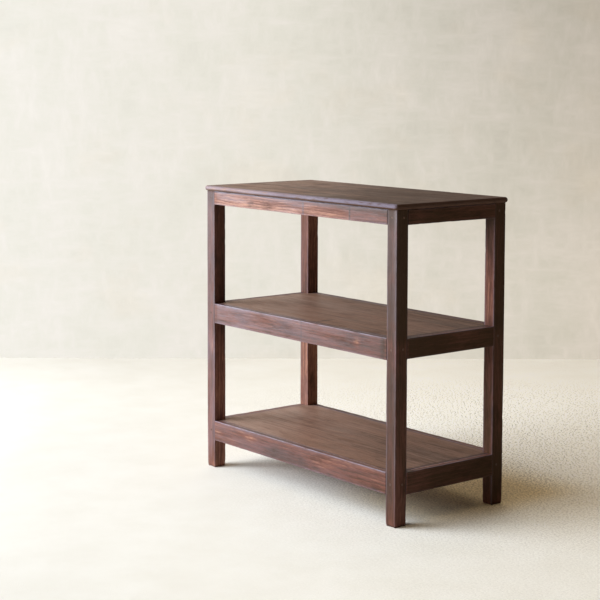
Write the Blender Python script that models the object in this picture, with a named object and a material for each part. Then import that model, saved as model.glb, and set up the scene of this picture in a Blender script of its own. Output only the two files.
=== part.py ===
"""Three-tier wooden display rack, built as a joiner builds it.

Four square posts with tapered feet are tied at three levels by rails with
pegged mortise-and-tenon joints. Tongued and grooved planks make a bull-nosed
top, which lies on the upper rails, and two shelves, which are held in grooves
in their rails and are flush with them. A cross bearer carries the planks in
mid span at each level.

Metres, +Z up. The origin is on the floor under the middle of the rack, and
the front faces -Y.
"""

import math

import bmesh
import bpy
from mathutils import Vector

# Frame, over the outer faces of the posts
FRAME_WIDTH = 0.895
FRAME_DEPTH = 0.422
HEIGHT = 0.900
POST_WIDTH = 0.040
POST_DEPTH = 0.043
POST_ARRIS = 0.0016
FOOT_TAPER_HEIGHT = 0.080
FOOT_TAPER = 0.0009
FOOT_WEAR = 0.0022

# Top planks with a half-round edge
TOP_THICKNESS = 0.016
TOP_OVERHANG = 0.0085
TOP_CORNER_RADIUS = 0.014
NOSE_STEPS = 8
CORNER_STEPS = 5

# Rails, by the height of their upper face above the floor and their own height
APRON_HEIGHT = 0.043
MIDDLE_SURFACE_HEIGHT = 0.527
MIDDLE_LONG_RAIL_HEIGHT = 0.062
MIDDLE_SIDE_RAIL_HEIGHT = 0.058
BOTTOM_SURFACE_HEIGHT = 0.151
BOTTOM_RAIL_HEIGHT = 0.063
RAIL_THICKNESS = 0.022
RAIL_ARRIS = 0.0015

# Tenons on the rails
TENON_THICKNESS = 0.009
TENON_SETBACK = 0.0065
TENON_SHOULDER = 0.006
MORTISE_WALL = 0.002

# Pegs that lock the tenons
PEG_DIAMETER = 0.007
PEG_INSET_LONG = 0.020
PEG_INSET_SIDE = 0.017
PEG_BITE = 0.004
PEG_PROUD = 0.0003
PEG_SIDES = 12

# Planks
PLANKS_PER_LEVEL = 3
SHELF_THICKNESS = 0.015
TONGUE_LENGTH = 0.005
TONGUE_THICKNESS = 0.005
SEAM_ARRIS = 0.0006

# Cross bearers and their stub tenons
BEARER_WIDTH = 0.040
BEARER_HEIGHT = 0.025
STUB_LENGTH = 0.008
STUB_SHOULDER = 0.006

# Glue blocks under the top
BLOCK_SIZE = 0.016
BLOCK_LENGTH = 0.060
BLOCK_OFFSET = 0.220

# Gap left between pieces that fit together, and how far a cutter overshoots
JOINT_GAP = 0.0003
OVERSHOOT = 0.002

SMOOTH_ANGLE = math.radians(35)
TOP_UNDERSIDE = HEIGHT - TOP_THICKNESS
RAIL_INNER_X = FRAME_WIDTH / 2 - RAIL_THICKNESS
RAIL_INNER_Y = FRAME_DEPTH / 2 - RAIL_THICKNESS
POST_INNER_X = FRAME_WIDTH / 2 - POST_WIDTH
POST_INNER_Y = FRAME_DEPTH / 2 - POST_DEPTH
SIDES_X = {"left": -1, "right": 1}
SIDES_Y = {"front": -1, "back": 1}

# Height of the upper edge of the rails of each level
RAIL_TOPS = {
    "top": TOP_UNDERSIDE - JOINT_GAP,
    "middle": MIDDLE_SURFACE_HEIGHT,
    "bottom": BOTTOM_SURFACE_HEIGHT,
}

# Height of the rails themselves: "X" runs the long way, "Y" the short way
RAIL_HEIGHTS = {
    ("top", "X"): APRON_HEIGHT,
    ("top", "Y"): APRON_HEIGHT,
    ("middle", "X"): MIDDLE_LONG_RAIL_HEIGHT,
    ("middle", "Y"): MIDDLE_SIDE_RAIL_HEIGHT,
    ("bottom", "X"): BOTTOM_RAIL_HEIGHT,
    ("bottom", "Y"): BOTTOM_RAIL_HEIGHT,
}

# Lower and upper face of the planks of each level
PLANK_FACES = {
    "top": (TOP_UNDERSIDE, HEIGHT),
    "middle": (MIDDLE_SURFACE_HEIGHT - SHELF_THICKNESS, MIDDLE_SURFACE_HEIGHT),
    "bottom": (BOTTOM_SURFACE_HEIGHT - SHELF_THICKNESS, BOTTOM_SURFACE_HEIGHT),
}


def clear_scene():
    for obj in list(bpy.data.objects):
        bpy.data.objects.remove(obj)


def make_material(name, colour, roughness):
    material = bpy.data.materials.new(name)
    material.use_nodes = True
    shader = material.node_tree.nodes["Principled BSDF"]
    shader.inputs["Base Color"].default_value = (*colour, 1.0)
    shader.inputs["Roughness"].default_value = roughness
    shader.inputs["Metallic"].default_value = 0.0
    return material


def make_object(name, bm, material=None):
    """Turns a bmesh into a linked object with outward normals."""
    bmesh.ops.recalc_face_normals(bm, faces=bm.faces)
    mesh = bpy.data.meshes.new(name)
    bm.to_mesh(mesh)
    bm.free()
    obj = bpy.data.objects.new(name, mesh)
    bpy.context.scene.collection.objects.link(obj)
    if material:
        mesh.materials.append(material)
        mesh.shade_smooth()
        mesh.set_sharp_from_angle(angle=SMOOTH_ANGLE)
    return obj


def make_cutter(name, bm):
    """A guide solid for a Boolean, left out of the build."""
    cutter = make_object(name, bm)
    cutter.hide_render = True
    cutter.display_type = "WIRE"
    return cutter


def combine(obj, cutter, operation):
    modifier = obj.modifiers.new(cutter.name, "BOOLEAN")
    modifier.operation = operation
    modifier.solver = "EXACT"
    modifier.object = cutter


def add_loft(bm, loops):
    """Joins loops of equal length into one closed body, with a cap at each end."""
    rings = [[bm.verts.new(point) for point in loop] for loop in loops]
    bm.faces.new(rings[0])
    bm.faces.new(rings[-1])
    for lower, upper in zip(rings, rings[1:]):
        for i in range(len(lower)):
            j = (i + 1) % len(lower)
            bm.faces.new((lower[i], lower[j], upper[j], upper[i]))


def add_prism(bm, outline, travel):
    add_loft(bm, [outline, [Vector(point) + Vector(travel) for point in outline]])


def add_box(bm, span_x, span_y, span_z):
    """A box between two values on each axis, given in either order."""
    low_x, high_x = sorted(span_x)
    low_y, high_y = sorted(span_y)
    low_z, high_z = sorted(span_z)
    outline = [(low_x, low_y), (high_x, low_y), (high_x, high_y), (low_x, high_y)]
    add_prism(bm, [(x, y, low_z) for x, y in outline], (0, 0, high_z - low_z))


def add_round_bar(bm, start, axis, stations, sides):
    """A turned bar: stations are (distance along axis, radius)."""
    axis = Vector(axis).normalized()
    across = axis.orthogonal().normalized()
    beside = axis.cross(across)
    angles = [2 * math.pi * k / sides for k in range(sides)]
    loops = []
    for distance, radius in stations:
        centre = Vector(start) + axis * distance
        rim = [across * math.cos(a) + beside * math.sin(a) for a in angles]
        loops.append([centre + spoke * radius for spoke in rim])
    add_loft(bm, loops)


def rounded_rectangle(half_x, half_y, radius, z, steps):
    """Corner arcs of a rectangle about the origin, counter-clockwise."""
    points = []
    for quarter, (sx, sy) in enumerate(((1, 1), (-1, 1), (-1, -1), (1, -1))):
        for k in range(steps + 1):
            angle = math.pi / 2 * (quarter + k / steps)
            x = sx * (half_x - radius) + radius * math.cos(angle)
            y = sy * (half_y - radius) + radius * math.sin(angle)
            points.append(Vector((x, y, z)))
    return points


def tenon_length(axis):
    """A long rail's tenon reaches well into its post, past the side of the mortise
    that takes the side rail's tenon, which stops short of it."""
    if axis == "X":
        return POST_WIDTH - TENON_SETBACK
    return POST_DEPTH - TENON_SETBACK - TENON_THICKNESS - MORTISE_WALL


def tenon_heights(level, axis, datum=0.0):
    """Lower and upper face of a tenon, as heights above a datum."""
    upper = RAIL_TOPS[level] - datum
    return upper - RAIL_HEIGHTS[level, axis] + TENON_SHOULDER, upper - TENON_SHOULDER


def add_tenon(bm, level, axis, side_x, side_y, clearance, datum=0.0):
    """The tenon of the rail along axis in a post, or with a clearance its mortise."""
    root = OVERSHOOT if clearance else RAIL_THICKNESS
    tip = tenon_length(axis) + clearance
    near = TENON_SETBACK - clearance
    far = TENON_SETBACK + TENON_THICKNESS + clearance
    low, high = tenon_heights(level, axis, datum)
    span_z = (low - clearance, high + clearance)
    if axis == "X":
        span_x = (side_x * (POST_INNER_X - root), side_x * (POST_INNER_X + tip))
        span_y = (side_y * (FRAME_DEPTH / 2 - near), side_y * (FRAME_DEPTH / 2 - far))
    else:
        span_x = (side_x * (FRAME_WIDTH / 2 - near), side_x * (FRAME_WIDTH / 2 - far))
        span_y = (side_y * (POST_INNER_Y - root), side_y * (POST_INNER_Y + tip))
    add_box(bm, span_x, span_y, span_z)


def add_peg(bm, level, axis, side_x, side_y, clearance):
    """The peg across one joint, or with a clearance the hole that takes it."""
    z = sum(tenon_heights(level, axis)) / 2
    if axis == "X":
        start = (side_x * (POST_INNER_X + PEG_INSET_LONG), side_y * FRAME_DEPTH / 2, z)
        direction = (0, -side_y, 0)
    else:
        start = (side_x * FRAME_WIDTH / 2, side_y * (POST_INNER_Y + PEG_INSET_SIDE), z)
        direction = (-side_x, 0, 0)
    length = TENON_SETBACK + TENON_THICKNESS + PEG_BITE
    radius = PEG_DIAMETER / 2 + clearance
    if clearance:
        stations = [(-OVERSHOOT, radius), (length + clearance, radius)]
    else:
        stations = [(-PEG_PROUD, radius - PEG_PROUD), (0, radius)]
        stations += [(length - PEG_BITE / 2, radius), (length, radius / 2)]
    add_round_bar(bm, start, direction, stations, PEG_SIDES)


def build_post(name, side_x, side_y, wood, peg_holes):
    """A square post: eased arrises, a tapered and worn foot, six blind mortises."""
    stations = [
        (0.0, FOOT_TAPER + FOOT_WEAR / 2),
        (FOOT_WEAR, FOOT_TAPER),
        (FOOT_TAPER_HEIGHT, 0.0),
        (TOP_UNDERSIDE - JOINT_GAP, 0.0),
    ]
    bm = bmesh.new()
    loops = []
    for z, inset in stations:
        half_x = POST_WIDTH / 2 - inset
        half_y = POST_DEPTH / 2 - inset
        loops.append(rounded_rectangle(half_x, half_y, POST_ARRIS + inset / 2, z, 2))
    add_loft(bm, loops)
    post = make_object(name, bm, wood)
    post.location.x = side_x * (FRAME_WIDTH - POST_WIDTH) / 2
    post.location.y = side_y * (FRAME_DEPTH - POST_DEPTH) / 2
    bm = bmesh.new()
    for level in RAIL_TOPS:
        for axis in "XY":
            add_tenon(bm, level, axis, side_x, side_y, JOINT_GAP)
    combine(post, make_cutter(f"mortises_{name}", bm), "DIFFERENCE")
    combine(post, peg_holes, "DIFFERENCE")


def rail_outline(level, axis):
    """Section of a rail: (distance in from its outer face, height above its upper edge)."""
    upper = 0.0
    lower = -RAIL_HEIGHTS[level, axis]
    ease = RAIL_ARRIS
    bend = ease * (1 - math.sqrt(0.5))
    points = [(ease, lower), (RAIL_THICKNESS, lower)]
    if level != "top":
        middle = -SHELF_THICKNESS / 2
        half = TONGUE_THICKNESS / 2 + JOINT_GAP
        floor = RAIL_THICKNESS - TONGUE_LENGTH
        points += [(RAIL_THICKNESS, middle - half), (floor, middle - half)]
        points += [(floor, middle + half), (RAIL_THICKNESS, middle + half)]
    points += [(RAIL_THICKNESS, upper)]
    points += [(ease, upper), (bend, upper - bend), (0, upper - ease)]
    points += [(0, lower + ease), (bend, lower + bend)]
    return points


def build_rail(name, level, axis, side, wood, peg_holes, bearer_sockets):
    """A rail between two posts, with a tenon at each end, shaped about its upper edge."""
    datum = RAIL_TOPS[level]
    if axis == "X":
        half = POST_INNER_X - JOINT_GAP
        outer = side * FRAME_DEPTH / 2
        corners = [(end, side) for end in (-1, 1)]
    else:
        half = POST_INNER_Y - JOINT_GAP
        outer = side * FRAME_WIDTH / 2
        corners = [(side, end) for end in (-1, 1)]
    section = [(outer - side * inward, z) for inward, z in rail_outline(level, axis)]
    bm = bmesh.new()
    if axis == "X":
        add_prism(bm, [(-half, across, z) for across, z in section], (2 * half, 0, 0))
    else:
        add_prism(bm, [(across, -half, z) for across, z in section], (0, 2 * half, 0))
    rail = make_object(name, bm, wood)
    rail.location.z = datum
    bm = bmesh.new()
    for side_x, side_y in corners:
        add_tenon(bm, level, axis, side_x, side_y, 0.0, datum)
    tenons = make_cutter(f"tenons_{name}", bm)
    tenons.location.z = datum
    combine(rail, tenons, "UNION")
    for corner in corners:
        combine(rail, peg_holes[corner], "DIFFERENCE")
    if axis == "X":
        combine(rail, bearer_sockets, "DIFFERENCE")


def add_bearer_stubs(bm, level, clearance):
    """The stub tenons of a bearer, or with a clearance their sockets in the rails."""
    root = OVERSHOOT if clearance else BEARER_WIDTH / 2
    tip = STUB_LENGTH + clearance
    half = BEARER_WIDTH / 2 - STUB_SHOULDER + clearance
    high = PLANK_FACES[level][0] - JOINT_GAP - STUB_SHOULDER + clearance
    low = PLANK_FACES[level][0] - JOINT_GAP - BEARER_HEIGHT + STUB_SHOULDER - clearance
    for side in (-1, 1):
        span_y = (side * (RAIL_INNER_Y - root), side * (RAIL_INNER_Y + tip))
        add_box(bm, (-half, half), span_y, (low, high))


def build_bearer(level, wood):
    """A bar across the middle of a level, tenoned into the long rails."""
    high = PLANK_FACES[level][0] - JOINT_GAP
    half = BEARER_WIDTH / 2
    reach = RAIL_INNER_Y - JOINT_GAP
    bm = bmesh.new()
    add_box(bm, (-half, half), (-reach, reach), (high - BEARER_HEIGHT, high))
    bearer = make_object(f"{level}_cross_bearer", bm, wood)
    bm = bmesh.new()
    add_bearer_stubs(bm, level, 0.0)
    combine(bearer, make_cutter(f"stubs_{level}", bm), "UNION")


def top_slab():
    """The whole top: a rounded rectangle whose edge is a half round."""
    radius = TOP_THICKNESS / 2
    loops = []
    for k in range(NOSE_STEPS + 1):
        angle = math.pi * (k / NOSE_STEPS - 0.5)
        inset = radius * (1 - math.cos(angle))
        half_x = FRAME_WIDTH / 2 + TOP_OVERHANG - inset
        half_y = FRAME_DEPTH / 2 + TOP_OVERHANG - inset
        corner = TOP_CORNER_RADIUS - inset
        z = TOP_UNDERSIDE + radius * (1 + math.sin(angle))
        loops.append(rounded_rectangle(half_x, half_y, corner, z, CORNER_STEPS))
    bm = bmesh.new()
    add_loft(bm, loops)
    return bm


def shelf_outline(tongue):
    """Plan of a shelf, notched round the four posts, as far out as its tongue."""
    reach_x = RAIL_INNER_X - JOINT_GAP + tongue
    reach_y = RAIL_INNER_Y - JOINT_GAP + tongue
    notch_x = POST_INNER_X - JOINT_GAP
    notch_y = POST_INNER_Y - JOINT_GAP
    quarter = [(reach_x, notch_y), (notch_x, notch_y), (notch_x, reach_y)]
    outline = []
    for sx, sy in ((1, 1), (-1, 1), (-1, -1), (1, -1)):
        corner = quarter if sx * sy > 0 else quarter[::-1]
        outline += [(sx * x, sy * y) for x, y in corner]
    return outline


def shelf_slab(level):
    """A shelf before it is parted into planks."""
    low, high = PLANK_FACES[level]
    bm = bmesh.new()
    outline = [(x, y, low) for x, y in shelf_outline(0.0)]
    add_prism(bm, outline, (0, 0, high - low))
    return bm


def shelf_tongue(level):
    """The tongue all round a shelf, in the grooves of its rails."""
    middle = sum(PLANK_FACES[level]) / 2
    low = middle - TONGUE_THICKNESS / 2
    bm = bmesh.new()
    outline = [(x, y, low) for x, y in shelf_outline(TONGUE_LENGTH)]
    add_prism(bm, outline, (0, 0, TONGUE_THICKNESS))
    return bm


def seam_line(y, level, side):
    """Section of a seam between two planks, from below to above, on the side of the
    plank towards -Y (-1), which has the tongue, or towards +Y (1), with the groove."""
    low, high = PLANK_FACES[level]
    middle = (low + high) / 2
    half = TONGUE_THICKNESS / 2 + side * JOINT_GAP / 2
    edge = y + side * JOINT_GAP / 2
    tip = y + TONGUE_LENGTH + side * JOINT_GAP / 2
    return [
        (edge, low - OVERSHOOT),
        (edge, middle - half),
        (tip, middle - half),
        (tip, middle + half),
        (edge, middle + half),
        (edge, high - SEAM_ARRIS),
        (edge + side * (SEAM_ARRIS + OVERSHOOT), high + OVERSHOOT),
    ]


def outer_line(y, level):
    low, high = PLANK_FACES[level]
    return [(y, low - OVERSHOOT), (y, high + OVERSHOOT)]


def build_planks(level, wood):
    """Parts a slab into planks, tongued and grooved along their seams."""
    reach = FRAME_DEPTH / 2 + TOP_OVERHANG
    if level != "top":
        reach = RAIL_INNER_Y - JOINT_GAP
    width = 2 * reach / PLANKS_PER_LEVEL
    limit = reach + TONGUE_LENGTH + OVERSHOOT
    start = -(FRAME_WIDTH / 2 + TOP_OVERHANG + OVERSHOOT)
    tongue = None
    if level != "top":
        tongue = make_cutter(f"tongue_{level}", shelf_tongue(level))
    for k in range(PLANKS_PER_LEVEL):
        front = seam_line(-reach + width * k, level, 1)
        back = seam_line(-reach + width * (k + 1), level, -1)
        if k == 0:
            front = outer_line(-limit, level)
        if k == PLANKS_PER_LEVEL - 1:
            back = outer_line(limit, level)
        bm = bmesh.new()
        outline = [(start, y, z) for y, z in front + back[::-1]]
        add_prism(bm, outline, (-2 * start, 0, 0))
        keeper = make_cutter(f"keeper_{level}_{k + 1}", bm)
        slab = top_slab() if level == "top" else shelf_slab(level)
        plank = make_object(f"{level}_plank_{k + 1}", slab, wood)
        if tongue:
            combine(plank, tongue, "UNION")
        combine(plank, keeper, "INTERSECT")


def build_glue_blocks(wood):
    """Blocks glued in the corner between the long aprons and the top."""
    high = TOP_UNDERSIDE - JOINT_GAP
    outer = RAIL_INNER_Y - JOINT_GAP
    for side_name, side_y in SIDES_Y.items():
        for hand, side_x in SIDES_X.items():
            bm = bmesh.new()
            span_x = (-BLOCK_LENGTH / 2, BLOCK_LENGTH / 2)
            span_y = (side_y * (outer - BLOCK_SIZE), side_y * outer)
            add_box(bm, span_x, span_y, (high - BLOCK_SIZE, high))
            block = make_object(f"glue_block_{side_name}_{hand}", bm, wood)
            block.location.x = side_x * BLOCK_OFFSET


def build_rack():
    frame_wood = make_material("frame_wood", (0.255, 0.175, 0.160), 0.45)
    plank_wood = make_material("plank_wood", (0.200, 0.140, 0.110), 0.55)
    inner_wood = make_material("inner_wood", (0.150, 0.085, 0.050), 0.70)
    peg_wood = make_material("peg_wood", (0.070, 0.035, 0.025), 0.50)

    peg_holes = {}
    for side_name, side_y in SIDES_Y.items():
        for hand, side_x in SIDES_X.items():
            place = f"{side_name}_{hand}"
            holes = bmesh.new()
            for level in RAIL_TOPS:
                for axis, kind in (("X", "long"), ("Y", "side")):
                    add_peg(holes, level, axis, side_x, side_y, JOINT_GAP)
                    peg = bmesh.new()
                    add_peg(peg, level, axis, side_x, side_y, 0.0)
                    make_object(f"{level}_{kind}_rail_peg_{place}", peg, peg_wood)
            cutter = make_cutter(f"peg_holes_{place}", holes)
            peg_holes[side_x, side_y] = cutter
            build_post(f"post_{place}", side_x, side_y, frame_wood, cutter)

    for level in RAIL_TOPS:
        bm = bmesh.new()
        add_bearer_stubs(bm, level, JOINT_GAP)
        sockets = make_cutter(f"bearer_sockets_{level}", bm)
        build_bearer(level, inner_wood)
        build_planks(level, plank_wood)
        for name, side in SIDES_Y.items():
            rail = f"{level}_rail_{name}"
            build_rail(rail, level, "X", side, frame_wood, peg_holes, sockets)
        for name, side in SIDES_X.items():
            rail = f"{level}_rail_{name}"
            build_rail(rail, level, "Y", side, frame_wood, peg_holes, None)
    build_glue_blocks(inner_wood)


clear_scene()
build_rack()
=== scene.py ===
"""Looks of the display rack: old oiled hardwood, lit from the left in a room with pale plaster.

Lengths are in metres and angles in radians. X runs along the rack to the right, Y to its back
and Z up, with the origin on the floor under its middle.
"""

import math
from functools import partial
from typing import NamedTuple

import bmesh
import bpy
import numpy as np
from mathutils import Matrix, Vector


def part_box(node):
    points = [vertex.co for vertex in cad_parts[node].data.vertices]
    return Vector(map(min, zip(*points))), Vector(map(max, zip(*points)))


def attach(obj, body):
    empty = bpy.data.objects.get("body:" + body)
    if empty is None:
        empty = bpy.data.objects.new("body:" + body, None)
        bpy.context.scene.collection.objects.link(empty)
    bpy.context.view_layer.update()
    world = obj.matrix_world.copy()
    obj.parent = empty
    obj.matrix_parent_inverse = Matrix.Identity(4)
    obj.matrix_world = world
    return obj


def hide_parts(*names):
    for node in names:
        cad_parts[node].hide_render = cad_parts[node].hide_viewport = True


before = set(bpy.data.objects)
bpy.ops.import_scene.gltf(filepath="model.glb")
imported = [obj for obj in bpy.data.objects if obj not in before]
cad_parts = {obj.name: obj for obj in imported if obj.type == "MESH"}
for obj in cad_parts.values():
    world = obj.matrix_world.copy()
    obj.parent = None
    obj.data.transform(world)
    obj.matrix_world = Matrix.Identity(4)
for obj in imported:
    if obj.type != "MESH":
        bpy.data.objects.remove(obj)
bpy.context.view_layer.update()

# The photograph's camera, fitted to the rack's edges
IMAGE_PIXELS = 600
FOCAL_PIXELS = 1580.6
AXIS_ROW = 200
SENSOR_MM = 36
CAMERA_AT = (3.6292, -3.0870, 1.2642)
CAMERA_YAW = 0.89745
CAMERA_PITCH = 0.08225
CAMERA_ROLL = 0.00255

# Level directions in the room: to the right, and away, as seen in the photograph
RIGHT = Vector((math.cos(CAMERA_YAW), math.sin(CAMERA_YAW), 0))
AWAY = Vector((-math.sin(CAMERA_YAW), math.cos(CAMERA_YAW), 0))

AXES = {"X": 0, "Y": 1, "Z": 2}
QUARTERS = ((1, 1), (-1, 1), (-1, -1), (1, -1))

# Past this distance from the middle, a point of the front is on a post
POST_X = 0.395
# Within this distance from the middle, a point of an end is on a rail
END_RAIL_Y = 0.165

# The bars: the radius of their arrises, and where their points are
POST_ARRIS = 0.0020
RAIL_ARRIS = 0.0018
RAIL_END_GAP = 0.0002
RING_SPACING = 0.004
FACE_SPACING = 0.0045
ARRIS_LINES = (0.0012, 0.003)
# How far from an arris it is worn, how deep it is dented and rubbed, and how a face sways
ARRIS_REACH = 0.005
DENT_DEPTH = 0.0016
RUB_DEPTH = 0.0005
BAR_SWAY = 0.00016
# A post's foot is dented more, up to a height, and narrows a little below another
FOOT_DENT_DEPTH = 0.0022
FOOT_DENTS_TOP = 0.05
FOOT_TAPER = 0.0009
FOOT_TAPER_TOP = 0.08
# The rings of a post's foot: height above the floor, and how far its faces draw in there
FOOT_RINGS = (
    (0.0, 0.0048),
    (0.0006, 0.0036),
    (0.0014, 0.0026),
    (0.0026, 0.0017),
    (0.0044, 0.0010),
    (0.0066, 0.0005),
    (0.0092, 0.0002),
)
FOOT_RINGS_END = 0.011

# The top: the insets from its rim at which its under and upper faces have a loop of points
TOP_CORNER = 0.014
UNDER_INSETS = (0.210, 0.12, 0.04, 0.016)
UPPER_INSETS = (0.011, 0.016, 0.03, 0.05, 0.075, 0.105, 0.14, 0.175, 0.210)
CORNER_STEPS = 8
LONG_SIDE_STEPS = 170
SHORT_SIDE_STEPS = 78
NOSE_STEPS = 12
# How far in its nose is worn, how much that sways, and how deep it is nicked and rubbed
NOSE_REACH = 0.016
NOSE_SWAY = 0.0005
NICK_DEPTH = 0.0040
NOSE_RUB_DEPTH = 0.0007

# The planks of the top and of each shelf, and how unevenly their upper faces dip
PLANKS = 3
PLANK_SEAM = 0.0003
TOP_DIP = 0.00022
SHELF_DIP = 0.00025
SHELF_RIM_DIP = 0.00008
# A shelf plank's lines of points: across it, between the posts, and along it
SHELF_COLUMNS = 82
SHELF_ROWS = 16

# The first seeds of the posts, rails, top and shelves, and the step between two bars
POST_SEED = 100
RAIL_SEED = 140
BAR_SEED_STEP = 10
TOP_SEED = 700
MIDDLE_SHELF_SEED = 800
BOTTOM_SHELF_SEED = 820

# How pale a piece is, about 0
POST_TONES = {"front_left": -0.05, "front_right": -0.37, "back_left": -0.04, "back_right": -0.18}
RAIL_TONES = {"top": 0.02, "middle": -0.06, "bottom": 0.0}
TOP_TONES = (0.02, -0.03, 0.04)
MIDDLE_SHELF_TONES = (-0.02, 0.03, -0.05)
BOTTOM_SHELF_TONES = (0.03, -0.03, 0.06)

# Paler and darker bands across the posts: strength, height and reach
POST_BANDS = {
    "front_left": ((-0.07, 0.66, 0.12),),
    "front_right": ((0.22, 0.50, 0.10), (0.06, 0.84, 0.05), (0.07, 0.69, 0.05)),
}
# On every post: darker at the top rail's height, the painted shade under the top, and darker at
# the middle rail's height
RAIL_LEVEL_BANDS = ((-0.16, 0.86, 0.05), (-0.10, 0.54, 0.03))

# The upright seams in the front rails, by x
APRON_SEAMS = (0.038, 0.2477)
MIDDLE_SEAM = 0.0302

# Marks on the front bottom rail: strength, x and its reach, z and its reach
BOTTOM_RAIL_MARKS = (
    (0.26, -0.215, 0.035, 0.128, 0.024),
    (-0.36, -0.09, 0.10, 0.112, 0.03),
    (-0.36, 0.03, 0.05, 0.105, 0.022),
    (0.12, 0.14, 0.12, 0.125, 0.02),
)

# The floor's corners, to the right and away
FLOOR_CORNERS = ((-7, -7), (7, -7), (7, 2.1), (-7, 2.1))

# The wall from left to right: where, as a fraction of the way round, and its colour, darker to
# the right as painted shade
WALL_BANDS = (
    (0.0, (0.90, 0.89, 0.84)),
    (0.405, (0.905, 0.885, 0.825)),
    (0.50, (0.800, 0.768, 0.692)),
    (0.595, (0.645, 0.585, 0.49)),
    (0.68, (0.64, 0.585, 0.49)),
    (0.82, (0.66, 0.61, 0.525)),
)

# The side of the room that sends no light to the rack
DIM_SIDE = (0.93, 0.37, 0)

# How much each mark of the grain makes the wood paler or darker
MARK_WEIGHTS = {"rings": 0.22, "streak": 0.70, "broad": 0.75, "mottle": 0.55, "pores": 1.10}


class Wood(NamedTuple):
    """One kind of timber: its colours, and how strong each of its marks is."""

    dark: tuple
    middle: tuple
    light: tuple  # its pale streaks where the painted sheen lies, a painted highlight
    warm: tuple  # its pale streaks elsewhere
    bloom_and_reflection: tuple  # the dull film and its painted reflection haze, where the painted sheen lies
    rubbed: tuple  # its worn arrises, coloured also as a painted highlight
    figure: float  # growth rings, in cycles a metre
    contrast: float
    stains: float
    calm: float  # how much plainer the dark pieces are
    roughness: float
    gloss: float


FRAME_WOOD = Wood(
    dark=(0.055, 0.0295, 0.0160),
    middle=(0.147, 0.061, 0.045),
    light=(0.425, 0.234, 0.174),
    warm=(0.390, 0.182, 0.118),
    bloom_and_reflection=(0.142, 0.080, 0.116),
    rubbed=(0.290, 0.255, 0.330),
    figure=36.0,
    contrast=1.0,
    stains=0.50,
    calm=0.6,
    roughness=0.44,
    gloss=0.70,
)
TOP_WOOD = Wood(
    dark=(0.080, 0.042, 0.028),
    middle=(0.236, 0.131, 0.092),
    light=(0.386, 0.253, 0.200),
    warm=(0.360, 0.170, 0.112),
    bloom_and_reflection=(0.270, 0.170, 0.142),
    rubbed=(0.185, 0.160, 0.215),
    figure=22.0,
    contrast=1.8,
    stains=0.50,
    calm=0.0,
    roughness=0.50,
    gloss=0.26,
)
SHELF_WOOD = TOP_WOOD._replace(contrast=0.90, stains=0.26, gloss=0.30)


# Fields over points


def field(points, scale, seed):
    """A smooth random field from -1 to 1, with scale cycles a metre on each axis."""
    size = 32
    table = np.random.default_rng(seed).uniform(-1, 1, (size, size, size))
    # Half a cell off, so that the rack's middle planes don't lie on cell walls
    p = np.asarray(points) * np.asarray(scale, dtype=float) + 200.5
    cell = np.floor(p).astype(int)
    f = p - cell
    f = f * f * (3 - 2 * f)
    value = np.zeros(len(p))
    for corner in range(8):
        step = np.array([corner & 1, corner >> 1 & 1, corner >> 2])
        i, j, k = ((cell + step) % size).T
        weight = np.where(step, f, 1 - f).prod(axis=1)
        value += weight * table[i, j, k]
    return value


def step_at(value, edge, width):
    """0 before an edge and 1 after it, straight between."""
    return np.clip((value - edge) / width + 0.5, 0, 1)


def bump_at(value, centre, reach):
    """1 at a centre, falling straight to 0 at a distance of reach."""
    return np.clip(1 - np.abs(value - centre) / reach, 0, 1)


def painted_sheen(points, normals, slot):
    """How strong the painted sheen is at a place, a painted reflection of the window: the front
    most, and less to the right and below.
    """
    x, y, z = points.T
    if slot == "plank_wood":
        # On the top and shelves the painted sheen is strong to the left and front, and faint to
        # the right and back
        left = 1.0 - 0.90 * step_at(x + 0.4 * y, -0.14, 0.60)
        return left * (0.75 + 0.35 * field(points, (7, 10, 7), 47))
    # The front, and the inner faces at the back left
    sheen_mask = 0.03 + 0.97 * step_at(-y, 0.10, 0.16)
    sheen_mask = sheen_mask + 0.32 * (x < 0) * (y > 0)
    # Less to the right and lower down
    sheen_mask = sheen_mask * (1 - 0.80 * step_at(x, 0.04, 0.80)) * (0.64 + 0.36 * step_at(z, 0.35, 0.5))
    sheen_mask = sheen_mask * (1 - 0.25 * step_at(x, 0.15, 0.30) * step_at(z, 0.83, 0.02))
    # Less painted sheen on lengths of the front posts, and on their feet
    sheen_mask = sheen_mask * (1 - 0.5 * (x < -POST_X) * step_at(z, 0.42, 0.06))
    sheen_mask = sheen_mask * (1 - 0.4 * (x > POST_X) * bump_at(z, 0.52, 0.12))
    sheen_mask = sheen_mask * (0.35 + 0.65 * step_at(z, 0.045, 0.05))
    # A painted highlight along the near post's arris, and no painted sheen in the shade under the
    # top
    arris = bump_at(x, 0.441, 0.010) * step_at(-y, 0.19, 0.01) * step_at(z, 0.45, 0.9)
    sheen_mask = sheen_mask + 0.30 * arris
    sheen_mask = sheen_mask * (1 - 0.8 * step_at(z, 0.881, 0.005))
    # Little painted sheen on faces that look to the right, which are in shade
    return sheen_mask * (1 - 0.8 * np.clip(normals[:, 0], 0, 1))


def painted_side_shade(points):
    """Painted shade on faces that look to the right: darker on the right-hand end, a little
    lighter on the left posts' inner faces, and less dark low on the near post, where the floor
    sends light up.
    """
    x, y, z = points.T
    shade = np.where(x > 0, 0.22 + 0.10 * (np.abs(y) < END_RAIL_Y), -0.17)
    painted_floor_bounce = (1 - step_at(z, 0.45, 0.3)) * (x > 0) * (y < -END_RAIL_Y)
    return shade - 0.36 * painted_floor_bounce


# Pieces


def box_of(*names):
    """The corners of the box round some of the CAD nodes."""
    boxes = [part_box(n) for n in names]
    low = [min(b[0][k] for b in boxes) for k in range(3)]
    high = [max(b[1][k] for b in boxes) for k in range(3)]
    return low, high


def read_vectors(vertices, key):
    flat = np.empty(len(vertices) * 3)
    vertices.foreach_get(key, flat)
    return flat.reshape(-1, 3)


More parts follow.
